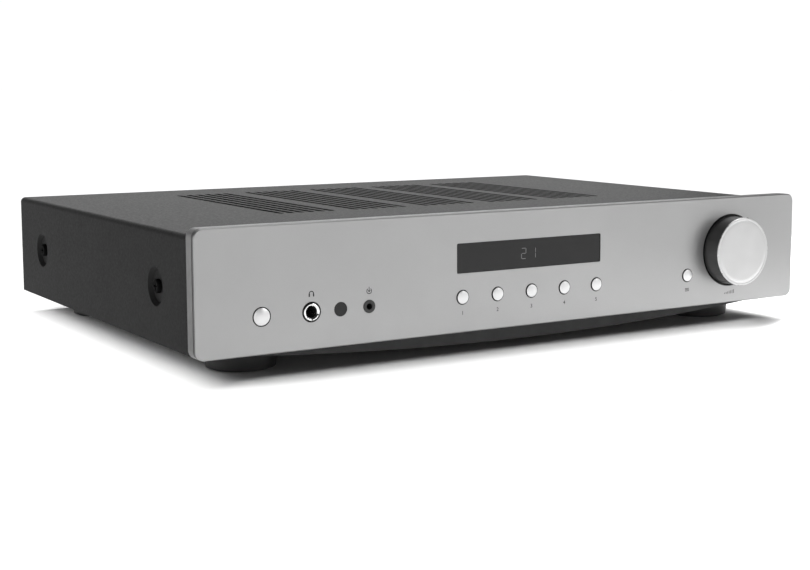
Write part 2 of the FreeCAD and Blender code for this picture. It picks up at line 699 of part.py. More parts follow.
def small_screws():
    """M3 screws of the panels, the cover's lip, the inlet, the sockets and the circuit boards."""
    screws = [m3(V(x, COVER_END, z), V(0, -1, 0), 7.0) for x, z in lip_screws()]
    screws += [m3(V(x, REAR_FACE, z), V(0, -1, 0), 7.0) for x, z in base_screws()]
    screws += [m3(V(x, SUBPANEL_FRONT, z), V(0, 1, 0), 7.0) for x, z in base_screws()]
    screws += [m3(V(x, SUBPANEL_BACK, z), V(0, -1, 0), 7.0) for x, z in frame_screws()]
    screws += [m3(V(x, REAR_FACE + 3.0, z), V(0, -1, 0), 8.0) for x, z in inlet_screws()]
    screws += [m3(V(x, REAR_FACE, z), V(0, -1, 0), 6.0) for x, z in socket_screws()]
    screws += [m3(V(x, y, PCB_TOP), V(0, 0, -1), 6.0) for x, y in standoff_places()]
    screws += [m3(V(x, BOARD_BACK, z), V(0, -1, 0), 4.5) for x, z in control_board_holes()]
    return screws


# ---------------------------------------------------------------- rear sockets

def input_block():
    """Moulded block behind the panel, with a coloured collar and core in each socket."""
    edge = SOCKET_PITCH / 2
    x = (SOCKET_X[0] - edge, SOCKET_X[-1] + edge)
    z = (SOCKET_Z[0] - edge, SOCKET_Z[1] + edge)
    block = box(x, (REAR_INNER - 10, REAR_INNER), z)
    places = [(column, row) for column in SOCKET_X for row in SOCKET_Z]
    collars = [rod_y(px, pz, 5.0, REAR_INNER - 1, REAR_FACE + 2.0) for px, pz in places]
    collars += [rod_y(px, pz, 6.0, REAR_FACE, REAR_FACE + 1.2) for px, pz in places]
    grooves = [rod_y(px, pz, SOCKET_NECK_R, REAR_INNER - 5, REAR_FACE + 3) for px, pz in places]
    core_r = SOCKET_R - SOCKET_WALL
    core_end = REAR_FACE + SOCKET_LENGTH - 1
    cores = [rod_y(px, pz, core_r, REAR_INNER - 6, core_end) for px, pz in places]
    holes = [rod_y(px, pz, SOCKET_BORE_R, REAR_FACE - 2, REAR_FACE + SOCKET_LENGTH) for px, pz in places]
    holes += [rod_y(sx, sz, M3_R + SCREW_GAP, REAR_INNER - 6, REAR_INNER + 1) for sx, sz in socket_screws()]
    return block.fuse(collars).cut(grooves).fuse(cores).cut(holes)


def socket_shells():
    """Plated outer contacts of the phono sockets, each with a narrower neck in the moulding."""
    end = REAR_FACE + SOCKET_LENGTH
    shells = []
    for x in SOCKET_X:
        for z in SOCKET_Z:
            tube = rod_y(x, z, SOCKET_R, SOCKET_NECK_END, end)
            rim = [e for e in tube.Edges if e.Closed and e.CenterOfMass.y > end - 0.1]
            tube = tube.makeChamfer(0.4, rim)
            neck = rod_y(x, z, SOCKET_NECK_R, REAR_INNER - 5, SOCKET_NECK_END)
            bore = rod_y(x, z, SOCKET_R - SOCKET_WALL, REAR_INNER - 6, end + 1)
            shells.append(join([tube, neck]).cut(bore))
    return shells


def post_places():
    return [pair + side * POST_PITCH / 2 for pair in POST_PAIR_X for side in (1, -1)]


def terminal_base():
    """Two moulded plates that insulate the speaker posts from the panel."""
    plates = []
    for pair in POST_PAIR_X:
        plate = slab_y((pair - 21, pair + 21), (REAR_FACE, POST_BASE), (POST_Z - 11, POST_Z + 11), 4.0)
        posts = [pair - POST_PITCH / 2, pair + POST_PITCH / 2]
        seats = [rod_y(x, POST_Z, 7.4, POST_BASE - 1, POST_SEAT) for x in posts]
        spigots = [rod_y(x, POST_Z, 5.0, REAR_INNER - 2, REAR_FACE + 1) for x in posts]
        holes = [rod_y(x, POST_Z, POST_STUD_R, REAR_INNER - 3, POST_SEAT + 1) for x in posts]
        plates.append(join([plate] + seats + spigots).cut(holes))
    return plates


def terminal_studs():
    """Plated studs of the speaker posts, bored for 4 mm plugs, and the ground stud."""
    studs = []
    for x in post_places():
        stud = rod_y(x, POST_Z, POST_STUD_R, REAR_INNER - 7, POST_STUD_END)
        collar = rod_y(x, POST_Z, 4.6, REAR_INNER - 4.5, REAR_INNER - 2)
        bore = rod_y(x, POST_Z, POST_BORE_R, REAR_FACE, POST_STUD_END + 1)
        studs.append(join([stud, collar]).cut(bore))
    ground = rod_y(GROUND_X, GROUND_Z, GROUND_STUD_R, REAR_INNER - 8, REAR_FACE + 11)
    nut = rod_y(GROUND_X, GROUND_Z, 4.0, REAR_INNER - 3, REAR_INNER)
    studs.append(join([ground, nut]))
    return studs


def post_washer(x):
    washer = rod_y(x, POST_Z, 6.0, POST_SEAT, POST_SEAT + WASHER)
    return washer.cut(rod_y(x, POST_Z, POST_STUD_R + RUNNING_GAP, POST_SEAT - 1, POST_SEAT + WASHER + 1))


def grip_cuts(x, z, radius, count, y):
    """Finger grooves around a screw cap."""
    cuts = []
    for step in range(count):
        turn = 2 * math.pi * step / count
        reach = radius + 0.35
        cuts.append(rod_y(x + reach * math.cos(turn), z + reach * math.sin(turn), 0.9, *y))
    return cuts


def post_cap(x):
    """Screw cap of one speaker post: threaded on the stud, open at its end for a plug."""
    start = POST_SEAT + WASHER
    cap = rod_y(x, POST_Z, POST_CAP_R, start, TERMINAL_END)
    ends = [e for e in cap.Edges if e.Closed and e.CenterOfMass.y > TERMINAL_END - 1]
    cap = cap.makeChamfer(0.6, ends)
    cuts = grip_cuts(x, POST_Z, POST_CAP_R, 14, (start + 2.4, TERMINAL_END + 1))
    cuts.append(rod_y(x, POST_Z, POST_STUD_R + RUNNING_GAP, start - 1, POST_STUD_END + 0.3))
    cuts.append(rod_y(x, POST_Z, 2.6, start, TERMINAL_END + 1))
    return cap.cut(cuts)


def ground_washer():
    washer = rod_y(GROUND_X, GROUND_Z, 5.0, REAR_FACE, REAR_FACE + WASHER)
    return washer.cut(rod_y(GROUND_X, GROUND_Z, GROUND_STUD_R + RUNNING_GAP, REAR_FACE - 1, REAR_FACE + 2))


def ground_nut():
    """Knurled thumb nut on the ground stud."""
    start = REAR_FACE + WASHER
    end = REAR_FACE + 12
    nut = rod_y(GROUND_X, GROUND_Z, 5.6, start, end)
    ends = [e for e in nut.Edges if e.Closed and e.CenterOfMass.y > end - 1]
    nut = nut.makeChamfer(0.6, ends)
    cuts = grip_cuts(GROUND_X, GROUND_Z, 5.6, 18, (start + 3, end + 1))
    cuts.append(rod_y(GROUND_X, GROUND_Z, GROUND_STUD_R + RUNNING_GAP, start - 1, REAR_FACE + 11.3))
    return nut.cut(cuts)


# ---------------------------------------------------------------- mains inlet and switch

def inlet_outline(width, height, y):
    """Block with the two upper corners cut off, as on a three-pin appliance inlet."""
    slope = 4.5
    x0, x1 = INLET_X - width / 2, INLET_X + width / 2
    z0, z1 = INLET_Z - height / 2, INLET_Z + height / 2
    points = [V(x0, y[0], z0), V(x1, y[0], z0), V(x1, y[0], z1 - slope),
              V(x1 - slope, y[0], z1), V(x0 + slope, y[0], z1), V(x0, y[0], z1 - slope)]
    face = Part.Face(Part.makePolygon(points + points[:1]))
    return face.extrude(V(0, y[1] - y[0], 0))


def mains_inlet():
    """Moulded appliance inlet: a flange on the panel and a deep recess for the plug."""
    flange = slab_y((INLET_X - 25, INLET_X + 25), (REAR_FACE, INLET_RIM), (INLET_Z - 12, INLET_Z + 12), 3.0)
    body = inlet_outline(27.6, 20.0, (INLET_RIM - INLET_DEPTH - 3, REAR_FACE + 1))
    recess = inlet_outline(24.2, 16.4, (INLET_RIM - INLET_DEPTH, INLET_RIM + 1))
    cuts = [recess] + inlet_blades()
    cuts += [rod_y(x, z, M3_R + SCREW_GAP, REAR_FACE - 1, INLET_RIM + 1) for x, z in inlet_screws()]
    return join([flange, body]).cut(cuts)


def inlet_blades():
    """Three contact blades that stand in the recess and end in tabs behind it."""
    blades = []
    for dx, dz in ((-7.0, -2.0), (0.0, 2.0), (7.0, -2.0)):
        x, z = INLET_X + dx, INLET_Z + dz
        blades.append(box((x - 1, x + 1), (INLET_RIM - 27, INLET_RIM - 5.2), (z - 2, z + 2)))
    return blades


def switch_housing():
    """Moulded bezel and case that the mains rocker turns in."""
    y = (REAR_FACE - 11, REAR_FACE + 2)
    bezel = slab_y((ROCKER_X - 8.2, ROCKER_X + 8.2), (REAR_FACE, REAR_FACE + 2),
                   (ROCKER_Z - 12, ROCKER_Z + 12), 1.5)
    case = box((ROCKER_X - 7, ROCKER_X + 7), y, (ROCKER_Z - 10.2, ROCKER_Z + 10.2))
    cavity = box((ROCKER_X - 6.2, ROCKER_X + 6.2), (y[0] + 1, y[1] + 1), (ROCKER_Z - 9.5, ROCKER_Z + 9.5))
    sockets = rod_x(ROCKER_PIVOT_Y, ROCKER_Z, 1.2 + RUNNING_GAP, ROCKER_X - 6.8, ROCKER_X + 6.8)
    tabs = [box((ROCKER_X - 2.4, ROCKER_X + 2.4), (y[0] - 8, y[0]), (z - 0.4, z + 0.4))
            for z in (ROCKER_Z - 5, ROCKER_Z + 5)]
    return join([bezel, case] + tabs).cut([cavity, sockets])


def mains_rocker():
    """Rocker with a shallow V face, resting tilted on its ON side."""
    profile = [(-8.1, 3.9), (0.0, 2.4), (8.1, 3.9), (8.8, 0.5), (7.0, -4.5), (-7.0, -4.5), (-8.8, 0.5)]
    points = [V(ROCKER_X - 5.8, ROCKER_PIVOT_Y + out, ROCKER_Z + up) for up, out in profile]
    body = Part.Face(Part.makePolygon(points + points[:1])).extrude(V(11.6, 0, 0))
    pins = rod_x(ROCKER_PIVOT_Y, ROCKER_Z, 1.2, ROCKER_X - 6.7, ROCKER_X + 6.7)
    rocker = join([body, pins])
    rocker.rotate(V(ROCKER_X, ROCKER_PIVOT_Y, ROCKER_Z), V(1, 0, 0), ROCKER_TILT)
    return rocker


# ---------------------------------------------------------------- power supply and amplifier

def is_rim(edge, radius):
    """True for a full circle of this radius."""
    return edge.Closed and hasattr(edge.Curve, "Radius") and abs(edge.Curve.Radius - radius) < 1e-6


def transformer():
    """Wound ring with rounded shoulders."""
    ring = rod_z(TOROID_X, TOROID_Y, TOROID_R, TOROID_BOTTOM, TOROID_TOP)
    ring = ring.cut(rod_z(TOROID_X, TOROID_Y, TOROID_HOLE_R, TOROID_BOTTOM - 1, TOROID_TOP + 1))
    for radius, shoulder in ((TOROID_R, 12.0), (TOROID_HOLE_R, 5.0)):
        ring = ring.makeFillet(shoulder, [edge for edge in ring.Edges if is_rim(edge, radius)])
    return ring


def transformer_pads():
    lower = rod_z(TOROID_X, TOROID_Y, 48.0, TRAY_TOP, TOROID_BOTTOM)
    upper = rod_z(TOROID_X, TOROID_Y, 34.0, TOROID_TOP, WASHER_BOTTOM)
    hole = rod_z(TOROID_X, TOROID_Y, 4.0, TRAY_TOP - 1, WASHER_BOTTOM + 1)
    return [lower.cut(hole), upper.cut(hole)]


def transformer_bolt():
    """Bolt up through the tray, dished washer on the winding, and its nut."""
    place = (TOROID_X, TOROID_Y)
    shank = rod_z(*place, 3.0, TRAY_BOTTOM - 1, WASHER_BOTTOM + 8)
    head = hex_rod(place, 10.0, TRAY_BOTTOM - 4, TRAY_BOTTOM)
    washer = Part.makeCone(32.0, 30.0, 1.6, V(*place, WASHER_BOTTOM), V(0, 0, 1))
    washer = washer.cut(rod_z(*place, 3.0, WASHER_BOTTOM - 1, WASHER_BOTTOM + 3))
    nut = hex_rod(place, 10.0, WASHER_BOTTOM + 1.6, WASHER_BOTTOM + 6.6)
    nut = nut.cut(rod_z(*place, 3.0, WASHER_BOTTOM, WASHER_BOTTOM + 8))
    return [join([head, shank]), washer, nut]


def standoff_places():
    main = [(x, y) for x in (-28.0, 80.0, 188.0) for y in (-98.0, 126.0)]
    power = [(x, y) for x in (-196.0, -104.0) for y in (20.0, 106.0)]
    return main + power


def board_standoffs():
    made = []
    for place in standoff_places():
        post = hex_rod(place, 6.0, TRAY_TOP, PCB_BOTTOM)
        made.append(post.cut(rod_z(*place, M3_R, TRAY_TOP - 1, PCB_BOTTOM + 1)))
    return made


def circuit_board(outline):
    x0, x1, y0, y1 = outline
    board = slab_z((x0, x1), (y0, y1), (PCB_BOTTOM, PCB_TOP), 2.0)
    inside = [place for place in standoff_places() if x0 < place[0] < x1 and y0 < place[1] < y1]
    return board.cut([rod_z(*place, M3_R + SCREW_GAP, PCB_BOTTOM - 1, PCB_TOP + 1) for place in inside])


def heatsink():
    """Extruded heatsink: an upright plate with fins that stand off towards the transformer."""
    x = (SINK_BACK_X - SINK_PLATE, SINK_BACK_X)
    z = (PCB_TOP + 0.4, 72.0)
    plate = box(x, SINK_Y, z)
    feet_of_sink = [box(x, (y - 6, y + 6), (TRAY_TOP, z[0] + 1)) for y in (SINK_Y[0] + 10, SINK_Y[1] - 10)]
    count = int((SINK_Y[1] - SINK_Y[0] - SINK_FIN) / SINK_FIN_PITCH) + 1
    fins = []
    for step in range(count):
        y = SINK_Y[0] + step * SINK_FIN_PITCH
        fins.append(box((x[0] - SINK_FIN_REACH, x[0] + 0.5), (y, y + SINK_FIN), z))
    return join([plate] + feet_of_sink + fins)


def output_transistors():
    """Power transistors clamped to the flat side of the heatsink."""
    made = []
    for y in (-44.0, -14.0, 52.0, 82.0):
        body = box((SINK_BACK_X, SINK_BACK_X + 5), (y - 8, y + 8), (36.0, 56.0))
        legs = [box((SINK_BACK_X + 3.4, SINK_BACK_X + 4.2), (y + at - 0.6, y + at + 0.6), (PCB_TOP, 36.5))
                for at in (-5.4, 0.0, 5.4)]
        made.append(join([body] + legs))
    return made


def reservoir_capacitors():
    cans = []
    for y in (-66.0, -28.0):
        can = rod_z(18.0, y, 15.0, PCB_TOP, PCB_TOP + 40)
        top = [e for e in can.Edges if e.Closed and e.CenterOfMass.z > PCB_TOP + 39]
        cans.append(can.makeFillet(1.5, top))
    return cans


def board_components():
    """Relays, small capacitors, standby transformer, rectifier, fuse and lead connectors."""
    parts = [box((x - 10, x + 10), (104.0, 120.0), (PCB_TOP, PCB_TOP + 15)) for x in (-5.0, 20.0, 45.0)]
    for column in range(5):
        for row in range(3):
            x = 62.0 + column * 26.0
            y = -52.0 + row * 50.0
            parts.append(rod_z(x, y, 5.0, PCB_TOP, PCB_TOP + 16))
    parts += [box((x, x + 16), (80.0 - 4, 80.0 + 4), (PCB_TOP, PCB_TOP + 3)) for x in (96.0, 126.0, 156.0)]
    parts.append(box((-196.0, -160.0), (50.0, 82.0), (PCB_TOP, PCB_TOP + 30)))
    parts.append(box((-132.0, -112.0), (40.0, 46.0), (PCB_TOP, PCB_TOP + 18)))
    fuse = rod_x(96.0, PCB_TOP + 5.5, 2.6, -150.0, -130.0)
    clips = [box((x - 4, x + 4), (92.0, 100.0), (PCB_TOP, PCB_TOP + 7)) for x in (-148.0, -132.0)]
    parts += [fuse] + [clip.cut(fuse) for clip in clips]
    parts += [box(*block) for block in lead_connectors()]
    return parts


def lead_connectors():
    high = (PCB_TOP, PCB_TOP + 6)
    return [((-182.0, -162.0), (94.0, 100.0), high),
            ((-156.0, -138.0), (22.0, 28.0), high),
            ((-12.0, 12.0), (-96.0, -90.0), high),
            ((66.0, 94.0), (-90.5, -85.5), (PCB_TOP, PCB_TOP + 4))]


def internal_leads():
    """Mains leads, transformer primary leads and transformer secondary leads."""
    top = PCB_TOP + 6
    mains = []
    for dx in (-7.0, 7.0):
        x = INLET_X + dx
        tab = V(x, INLET_RIM - 27, INLET_Z - 2)
        route = [tab, V(x, 108.0, INLET_Z - 2), V(x - 2, 97.0, 40.0), V(x - 2, 97.0, top)]
        mains.append(lead("mains", route))
    primary = []
    for step in range(2):
        x = -150.0 + 6 * step
        route = [V(x, 25.0, top), V(x, 25.0, 42.0), V(x, 12.0, 48.0), V(x, -4.0 + 1.5 * step, 46.0)]
        primary.append(lead("primary", route))
    secondary = []
    for step in range(3):
        z = 30.0 + 4 * step
        x = -8.0 + 8 * step
        route = [V(-94.0 + step, -92.0, z), V(-62.0, -110.0 - 3 * step, z + 8),
                 V(-30.0, -110.0 - 2 * step, z + 14), V(x, -93.0, z + 16), V(x, -93.0, top)]
        secondary.append(lead("secondary", route))
    return mains + primary + secondary


# ---------------------------------------------------------------- write the parts

def main():
    os.makedirs("parts", exist_ok=True)
    save("fascia_plate", fascia_plate())
    save("fascia_frame", fascia_frame())
    save("display_window", display_window())
    save("ir_window", ir_window())
    save("power_button", front_button(POWER_X, POWER_R))
    for number, x in enumerate(SOURCE_X, start=1):
        save("source_button_%d" % number, front_button(x, BUTTON_R))
    save("menu_button", front_button(MENU_X, BUTTON_R))
    save("headphone_jack", headphone_jack())
    save("headphone_jack_nut", headphone_jack_nut())
    save("aux_jack", aux_jack())
    save("volume_knob", volume_knob())
    save("knob_hub", knob_hub())
    save("encoder_shaft", encoder_shaft())
    save("encoder_body", encoder_body())
    save("control_board", control_board())
    save_group("control_board_parts", control_board_parts())
    save("display_module", display_module())
    save("ribbon_cable", ribbon_cable())
    save("top_cover", top_cover())
    save("chassis_tray", chassis_tray())
    save("front_subpanel", front_subpanel())
    save("rear_panel", rear_panel())
    save("front_skirt", front_skirt())
    save_group("feet", feet())
    save_group("foot_pads", foot_pads())
    save_group("case_screws", case_screws())
    save_group("small_screws", small_screws())
    save("input_block", input_block())
    save_group("socket_shells", socket_shells())
    save_group("terminal_base", terminal_base())
    save_group("terminal_studs", terminal_studs())
    for number, x in enumerate(post_places(), start=1):
        save("post_washer_%d" % number, post_washer(x))
        save("post_cap_%d" % number, post_cap(x))
    save("ground_washer", ground_washer())
    save("ground_nut", ground_nut())
    save("mains_inlet", mains_inlet())
    save_group("inlet_blades", inlet_blades())
    save("switch_housing", switch_housing())
    save("mains_rocker", mains_rocker())
    save("transformer", transformer())
    save_group("transformer_pads", transformer_pads())
    save_group("transformer_bolt", transformer_bolt())
    save("main_board", circuit_board(MAIN_PCB))
    save("power_board", circuit_board(POWER_PCB))
    save_group("board_standoffs", board_standoffs())
    save("heatsink", heatsink())
    save_group("output_transistors", output_transistors())
    save_group("reservoir_capacitors", reservoir_capacitors())
    save_group("board_components", board_components())
    save_group("internal_leads", internal_leads())


main()
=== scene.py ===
"""Looks of the integrated amplifier: materials, finely turned pieces, printed marks, light and camera."""
import json
import math

import bmesh
import bpy
from mathutils import Matrix, Vector


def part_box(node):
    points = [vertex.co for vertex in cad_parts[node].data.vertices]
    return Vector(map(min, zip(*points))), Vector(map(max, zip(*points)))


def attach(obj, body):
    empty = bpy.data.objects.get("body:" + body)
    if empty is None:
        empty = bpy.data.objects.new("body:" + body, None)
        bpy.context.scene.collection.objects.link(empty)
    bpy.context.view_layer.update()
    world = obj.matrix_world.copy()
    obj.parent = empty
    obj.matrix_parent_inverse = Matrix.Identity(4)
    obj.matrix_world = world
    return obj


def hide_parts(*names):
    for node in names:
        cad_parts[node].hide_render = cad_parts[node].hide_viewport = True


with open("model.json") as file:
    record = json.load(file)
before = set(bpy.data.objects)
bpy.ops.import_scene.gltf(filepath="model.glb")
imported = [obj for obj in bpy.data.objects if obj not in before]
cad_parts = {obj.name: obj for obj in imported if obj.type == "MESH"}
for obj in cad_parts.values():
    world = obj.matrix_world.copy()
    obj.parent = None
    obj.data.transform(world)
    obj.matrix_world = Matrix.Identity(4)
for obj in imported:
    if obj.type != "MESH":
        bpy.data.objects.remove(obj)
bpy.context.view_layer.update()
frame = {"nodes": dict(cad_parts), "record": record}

MM = 0.001
NODES = frame["nodes"]
MOUNTS = {mount["name"]: Vector(mount["pos_m"]) for mount in frame["record"]["mounts"]}


def middle(node):
    """Centre of a node's box, in metres."""
    low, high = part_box(node)
    return (low + high) / 2


# Places and sizes worked out from the frame
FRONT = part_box("fascia_plate")[0].y
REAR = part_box("rear_panel")[1].y
ROW_Z = middle("menu_button").z
KNOB_LOW, KNOB_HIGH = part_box("volume_knob")
KNOB = (KNOB_LOW + KNOB_HIGH) / 2
KNOB_R = (KNOB_HIGH.x - KNOB_LOW.x) / 2
SOURCE_BUTTONS = ["source_button_%d" % number for number in range(1, 6)]
FRONT_BUTTONS = ["power_button", "menu_button"] + SOURCE_BUTTONS

# Materials: gloss of coats, span of noise values in use, width of the painted shade in the well round the
# knob
COAT_ROUGHNESS = 0.1
NOISE_SPAN = (0.3, 0.7)
KNOB_WELL_SHADE = 1.5 * MM
TAPE_TURNS = 72.0

# Shapes: faces round a turned piece and in its rolled edge, and the bend from which an edge is sharp
TURN_SEGMENTS = 128
LIP_STEPS = 6
SHARP_ANGLE = math.radians(35)

# The mains rocker's axis, its tilt at rest and the V of its face
ROCKER_PIVOT_Y = REAR - 0.8 * MM
ROCKER_Z = 48.0 * MM
ROCKER_TILT = math.radians(8)
ROCKER_HALF = 8.1 * MM
ROCKER_VALLEY = 2.4 * MM
ROCKER_CREST = 3.9 * MM

# Printed marks: height of the ink, width of a line and its overrun as a share of half that width,
# the hidden flange of a button past its face, and the half sizes and corners of the rear frames
INK = 0.03 * MM
LINE = 0.36 * MM
LINE_OVERRUN = 0.9
FLANGE = 1.2 * MM
SOCKET_FRAME = (8.0 * MM, 17.2 * MM)
POST_FRAME = (23.0 * MM, 17.5 * MM)
FRAME_CORNER = 1.5 * MM
FACE_FRONT = Matrix.Rotation(math.pi / 2, 4, "X")
FACE_REAR = Matrix.Rotation(math.pi, 4, "Z") @ FACE_FRONT

# Light: directions and strength of the suns on the floor, the sun overhead, the soft boxes (the last
# one lights the floor on the right) and the sky, whose white ends at HORIZON_TOP
FLOOR_SOURCES = ((-0.1, 0.15), (-0.45, 0.15), (-0.8, 0.12), (-1.15, -0.25), (-1.5, -0.6))
FLOOR_LIGHT = 1.36
FLOOR_SPREAD = 15.0
OVERHEAD = {"power": 1.0, "spread": 30.0, "source": (0.35, 0.3, 1.0)}
FRONT_BOX = {"at": (1.0, -1.1, 0.85), "target": (0.08, -0.15, 0.05), "size": (0.7, 0.7), "watts": 8.0}
BACK_BOX = {"at": (0.5, 1.3, 0.55), "target": (0.0, 0.0, 0.08), "size": (1.6, 0.5), "watts": 6.0}
FLOOR_BOX = {"at": (0.6, 0.08, 0.42), "target": (0.27, 0.0, 0.0), "size": (0.12, 0.3), "watts": 3.2,
             "state": "INCLUDE", "beam": 70}
FLOOR_RADIUS = 20.0
HORIZON_TOP = 0.12
SKY_START = 0.37
SKY = 0.02
WORLD_STRENGTH = 1.02

# Camera: place in metres, angles in radians, lens in millimetres on a 36 mm sensor
CAMERA_AT = (-0.50322, -0.84557, 0.15891)
CAMERA_YAW = 0.57904
CAMERA_PITCH = 0.11352
CAMERA_SENSOR = 36.0
CAMERA_LENS = 64.4
CAMERA_SHIFT = (-0.0682, -0.0494)


# ---------------------------------------------------------------- materials

def material(name, color, metallic=0.0, roughness=0.5, coat=0.0, specular=0.5):
    """A Principled material with its uniform values on the shader's own sockets."""
    made = bpy.data.materials.new(name)
    made.use_nodes = True
    values = {"Base Color": (*color, 1.0), "Metallic": metallic, "Roughness": roughness, "Coat Weight": coat,
              "Coat Roughness": COAT_ROUGHNESS, "Specular IOR Level": specular}
    for socket, value in values.items():
        shader_of(made).inputs[socket].default_value = value
    return made


def add(mat, kind, **values):
    """A new node in the material, with some of its settings and inputs."""
    node = mat.node_tree.nodes.new(kind)
    for key, value in values.items():
        if key in node.inputs:
            node.inputs[key].default_value = value
        else:
            setattr(node, key, value)
    return node


def link(mat, out, into):
    """Joins two sockets of the material's nodes."""
    mat.node_tree.links.new(out, into)


def shader_of(mat):
    """The material's Principled shader."""
    return mat.node_tree.nodes["Principled BSDF"]


def place(mat):
    """Object coordinates, in metres."""
    return add(mat, "ShaderNodeTexCoord").outputs["Object"]


def place_from(mat, point):
    """Object coordinates counted from a point."""
    shift = add(mat, "ShaderNodeVectorMath", operation="SUBTRACT")
    link(mat, place(mat), shift.inputs[0])
    shift.inputs[1].default_value = point
    return shift.outputs["Vector"]


def noise(mat, size, detail=2.0, stretch=(1.0, 1.0, 1.0)):
    """Noise whose blotches are about size metres across, stretched along the axes."""
    scaled = add(mat, "ShaderNodeMapping")
    scaled.inputs["Scale"].default_value = stretch
    link(mat, place(mat), scaled.inputs["Vector"])
    texture = add(mat, "ShaderNodeTexNoise", Scale=1.0 / size, Detail=detail)
    link(mat, scaled.outputs["Vector"], texture.inputs["Vector"])
    return texture.outputs["Fac"]


def vary_color(mat, factor, dark, light):
    """Base colour running from dark to light with a texture."""
    ramp = add(mat, "ShaderNodeValToRGB")
    for element, position, color in zip(ramp.color_ramp.elements, NOISE_SPAN, (dark, light)):
        element.position = position
        element.color = (*color, 1.0)
    link(mat, factor, ramp.inputs["Fac"])
    link(mat, ramp.outputs["Color"], shader_of(mat).inputs["Base Color"])


def vary_roughness(mat, factor, low, high):
    """Roughness running from low to high with a texture."""
    spread = add(mat, "ShaderNodeMapRange")
    for socket, value in zip(("From Min", "From Max", "To Min", "To Max"), (*NOISE_SPAN, low, high)):
        spread.inputs[socket].default_value = value
    link(mat, factor, spread.inputs["Value"])
    link(mat, spread.outputs["Result"], shader_of(mat).inputs["Roughness"])


def bump(mat, height, depth, strength=0.5):
    """Fine relief, its depth in metres."""
    node = add(mat, "ShaderNodeBump", Strength=strength, Distance=depth)
    link(mat, height, node.inputs["Height"])
    link(mat, node.outputs["Normal"], shader_of(mat).inputs["Normal"])


def facing(mat, axis):
    """How far the surface faces along an axis, from 0 to 1, either way."""
    split = add(mat, "ShaderNodeSeparateXYZ")
    link(mat, add(mat, "ShaderNodeTexCoord").outputs["Normal"], split.inputs["Vector"])
    return math_node(mat, "ABSOLUTE", split.outputs[axis])


def coordinate(mat, axis):
    """One of the object coordinates, in metres."""
    split = add(mat, "ShaderNodeSeparateXYZ")
    link(mat, place(mat), split.inputs["Vector"])
    return split.outputs[axis]


def math_node(mat, operation, first, second=0.0):
    """A sum or comparison of sockets and numbers."""
    node = add(mat, "ShaderNodeMath", operation=operation)
    for socket, value in zip(node.inputs, (first, second)):
        if isinstance(value, float):
            socket.default_value = value
        else:
            link(mat, value, socket)
    return node.outputs["Value"]


def below(mat, value, limit):
    """1 where the value is below the limit, and 0 elsewhere."""
    return math_node(mat, "LESS_THAN", value, limit)


def tint(mat, mask, color):
    """Lays a colour over the base colour wherever the mask is 1."""
    base = shader_of(mat).inputs["Base Color"]
    mix = add(mat, "ShaderNodeMix", data_type="RGBA")
    link(mat, mask, mix.inputs["Factor"])
    link(mat, base.links[0].from_socket, mix.inputs[6])
    mix.inputs[7].default_value = (*color, 1.0)
    link(mat, mix.outputs[2], base)


def grey(value):
    """An even grey."""
    return (value, value, value)


def blasted_aluminium():
    """Fine bead-blasted, clear anodised front: pale face, painted shade on every surface that does not face
    the front (hole walls and edges) and in the well round the knob.
    """
    mat = material("blasted_aluminium", grey(0.5), metallic=0.8, roughness=0.42)
    vary_color(mat, noise(mat, 0.06, 3.0), grey(0.365), grey(0.39))
    vary_roughness(mat, noise(mat, 0.0009, 4.0), 0.33, 0.42)
    bump(mat, noise(mat, 0.00022, 3.0), 0.00004, 0.35)
    # Painted shade: surfaces that do not face the front, such as the walls of holes and the plate's edges,
    # are darkened.
    tint(mat, below(mat, facing(mat, "Y"), 0.5), grey(0.07))
    # Painted shade: the well round the knob is made near black.
    tint(mat, below(mat, from_knob_axis(mat), KNOB_R + KNOB_WELL_SHADE), grey(0.012))
    return mat


def from_knob_axis(mat):
    """Distance from the axis of the volume knob."""
    flat = add(mat, "ShaderNodeVectorMath", operation="MULTIPLY")
    link(mat, place(mat), flat.inputs[0])
    flat.inputs[1].default_value = (1.0, 0.0, 1.0)
    reach = add(mat, "ShaderNodeVectorMath", operation="DISTANCE")
    link(mat, flat.outputs["Vector"], reach.inputs[0])
    reach.inputs[1].default_value = (KNOB.x, 0.0, KNOB.z)
    return reach.outputs["Value"]


def turned_face():
    """Face of the volume knob, turned in fine rings."""
    mat = material("turned_face", grey(0.75), metallic=0.9, roughness=0.3)
    rings = add(mat, "ShaderNodeTexWave", wave_type="RINGS", rings_direction="Y", Scale=900.0, Distortion=0.0)
    link(mat, place_from(mat, KNOB), rings.inputs["Vector"])
    vary_color(mat, noise(mat, 0.02, 2.0), grey(0.51), grey(0.55))
    vary_roughness(mat, rings.outputs["Fac"], 0.3, 0.4)
    bump(mat, rings.outputs["Fac"], 0.00001, 0.25)
    return mat


def socket_moulding():
    """Black block with a white upper row and a red lower row of socket collars."""
    mat = moulded("socket_moulding", grey(0.022), 0.4)
    outside = math_node(mat, "GREATER_THAN", coordinate(mat, "Y"), REAR - 0.6 * MM)
    lower = below(mat, coordinate(mat, "Z"), middle("input_block").z)
    tint(mat, outside, (0.72, 0.71, 0.68))
    tint(mat, math_node(mat, "MULTIPLY", outside, lower), (0.5, 0.015, 0.012))
    return mat


def moulded(name, color, roughness, grain=0.0005, specular=0.5):
    """Moulded plastic with a fine spark-eroded grain."""
    mat = material(name, color, roughness=roughness, specular=specular)
    dark, light = [tuple(part * share for part in color) for share in (0.9, 1.1)]
    vary_color(mat, noise(mat, 0.03, 3.0), dark, light)
    vary_roughness(mat, noise(mat, 0.004, 3.0), roughness - 0.05, roughness + 0.06)
    bump(mat, noise(mat, grain, 2.0), 0.00005, 0.3)
    return mat


